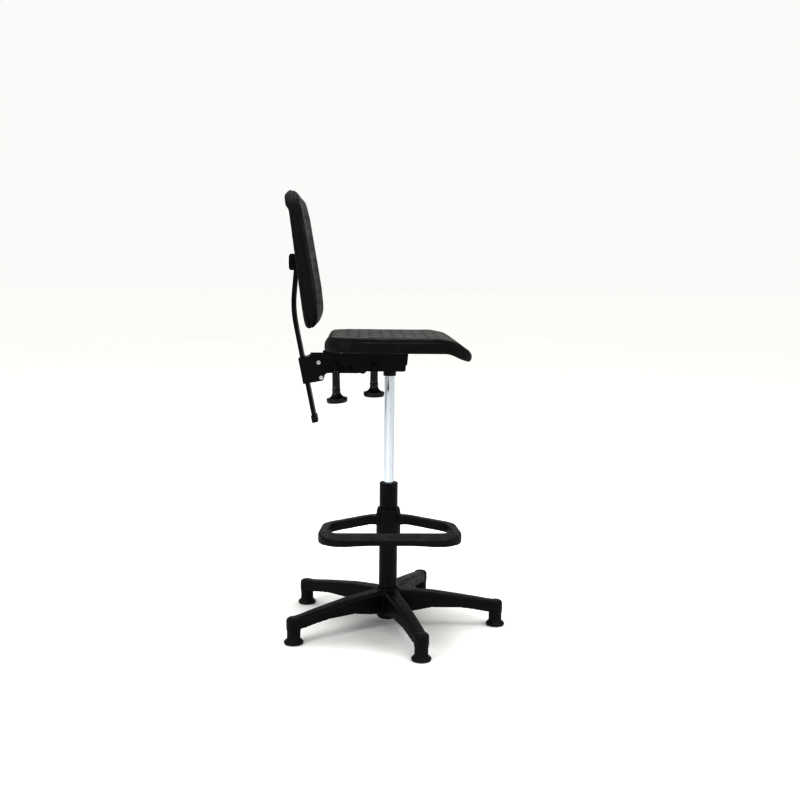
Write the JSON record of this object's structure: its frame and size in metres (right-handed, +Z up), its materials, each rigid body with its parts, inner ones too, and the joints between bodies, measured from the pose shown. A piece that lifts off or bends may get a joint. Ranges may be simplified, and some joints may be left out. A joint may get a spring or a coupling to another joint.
{
  "type": "adjustable swivel work stool",
  "caption": "High work stool with foam seat and backrest on a gas column, a turning foot ring and a star base on glides; swivels, lifts and tilts.",
  "frame": {"origin": "on the floor, on the column's axis", "axes": "+X is the way the sitter faces, +Y is the sitter's left, +Z is up"},
  "size_m": [0.6051, 0.6248, 1.1857],
  "materials": {
    "black_nylon": "satin moulded",
    "dark_plastic": "satin moulded",
    "glide_plastic": "satin moulded",
    "felt_grey": "dull",
    "zinc_steel": "zinc plated",
    "chromed_tube": "bright",
    "black_steel": "powder coated, satin",
    "brass": "satin",
    "black_bolts": "black oxide",
    "spring_steel": "oiled",
    "rubber": "matt",
    "tread_rubber": "studded",
    "plywood": "raw",
    "seat_foam": "integral skin foam, fine grain",
    "back_foam": "integral skin foam, fine grain",
    "handle_plastic": "semi-gloss"
  },
  "bodies": {
    "base": {"base_star": "black_nylon", "hub_sleeve": "black_steel", "outer_tube": "black_steel", "tube_guide": "dark_plastic", "lower_race": "zinc_steel", "glide_1": "glide_plastic", "glide_2": "glide_plastic", "glide_3": "glide_plastic", "glide_4": "glide_plastic", "glide_5": "glide_plastic", "glide_pads": "felt_grey"},
    "bearing": {"ball_cage": "brass", "bearing_balls": "chromed_tube"},
    "spindle": {"piston_rod": "chromed_tube", "piston": "dark_plastic", "upper_race": "zinc_steel", "bump_stop": "rubber", "rod_clip": "spring_steel"},
    "carriage": {"pressure_tube": "chromed_tube", "rod_guide": "dark_plastic", "valve_body": "zinc_steel", "taper_socket": "black_steel", "mech_tray": "black_steel", "mounting_plate": "black_steel", "seat_bolts": "zinc_steel", "tee_nuts": "zinc_steel", "seat_board": "plywood", "seat_pad": "seat_foam", "tilt_springs": "spring_steel", "brake_band": "spring_steel", "tray_bolts": "black_bolts", "spring_rod": "black_steel", "pivot_bolt": "black_bolts", "pivot_spacers": "black_steel"},
    "release": {"release_pin": "zinc_steel"},
    "gas_lever": {"gas_lever_rod": "black_steel", "gas_finger": "black_bolts", "gas_handle": "handle_plastic", "gas_clip": "spring_steel"},
    "lock_lever": {"lock_lever_rod": "black_steel", "lock_cam": "black_bolts", "lock_handle": "handle_plastic", "lock_clip": "spring_steel"},
    "carrier": {"back_carrier": "black_steel", "bar_clamp": "black_steel", "clamp_pins": "zinc_steel", "wear_pads": "dark_plastic", "pressure_spring": "spring_steel"},
    "back_stem": {"back_bar": "black_steel", "bar_stop": "dark_plastic", "bar_bracket": "dark_plastic"},
    "backrest": {"hinge_pin": "black_bolts", "back_plate": "black_steel", "back_screws": "black_bolts", "back_pad": "back_foam"},
    "ring_slider": {"ring_bush": "dark_plastic"},
    "foot_ring": {"foot_ring": "black_nylon", "tread_pad": "tread_rubber"},
    "ring_clamp": {"knob_screw": "zinc_steel", "ring_knob": "handle_plastic"}
  },
  "joints": [
    {"name": "seat_swivel", "type": "hinge", "parent": "base", "child": "spindle", "pos_m": [0, 0, 0.03], "axis": [0, 0, 1], "continuous": true},
    {"name": "bearing_roll", "type": "hinge", "parent": "base", "child": "bearing", "pos_m": [0, 0, 0.03], "axis": [0, 0, 1], "continuous": true},
    {"name": "seat_height", "type": "slide", "parent": "spindle", "child": "carriage", "axis": [0, 0, 1], "range_m": [-0.265, 0]},
    {"name": "release_press", "type": "slide", "parent": "carriage", "child": "release", "axis": [0, 0, 1], "range_m": [-0.0065, 0]},
    {"name": "gas_lever_turn", "type": "hinge", "parent": "carriage", "child": "gas_lever", "pos_m": [-0.0435, 0, 0.735], "axis": [0, 1, 0], "range_deg": [0, 8], "stiffness_Nm_per_rad": 6, "springref_deg": -2.86},
    {"name": "lock_lever_turn", "type": "hinge", "parent": "carriage", "child": "lock_lever", "pos_m": [-0.145, 0, 0.735], "axis": [0, 1, 0], "range_deg": [0, 35]},
    {"name": "back_tilt", "type": "hinge", "parent": "carriage", "child": "carrier", "pos_m": [-0.166, 0, 0.724], "axis": [0, 1, 0], "range_deg": [-12, 3]},
    {"name": "back_height", "type": "slide", "parent": "carrier", "child": "back_stem", "axis": [-0.1942, 0, 0.981], "range_m": [-0.04, 0.08]},
    {"name": "backrest_tilt", "type": "hinge", "parent": "back_stem", "child": "backrest", "pos_m": [-0.26232, 0, 1.00603], "axis": [0, 1, 0], "range_deg": [-10, 6]},
    {"name": "ring_height", "type": "slide", "parent": "base", "child": "ring_slider", "axis": [0, 0, 1], "range_m": [-0.14, 0.06]},
    {"name": "ring_swivel", "type": "hinge", "parent": "ring_slider", "child": "foot_ring", "pos_m": [0, 0, 0.3], "axis": [0, 0, 1], "continuous": true},
    {"name": "ring_knob_turn", "type": "hinge", "parent": "foot_ring", "child": "ring_clamp", "pos_m": [0, 0.045, 0.28], "axis": [0, 1, 0], "range_deg": [-360, 0]}
  ],
  "couplings": [
    {"joint": "bearing_roll", "follows": "seat_swivel", "ratio": 0.5},
    {"joint": "release_press", "follows": "gas_lever_turn", "m_per_rad": -0.0455}
  ]
}
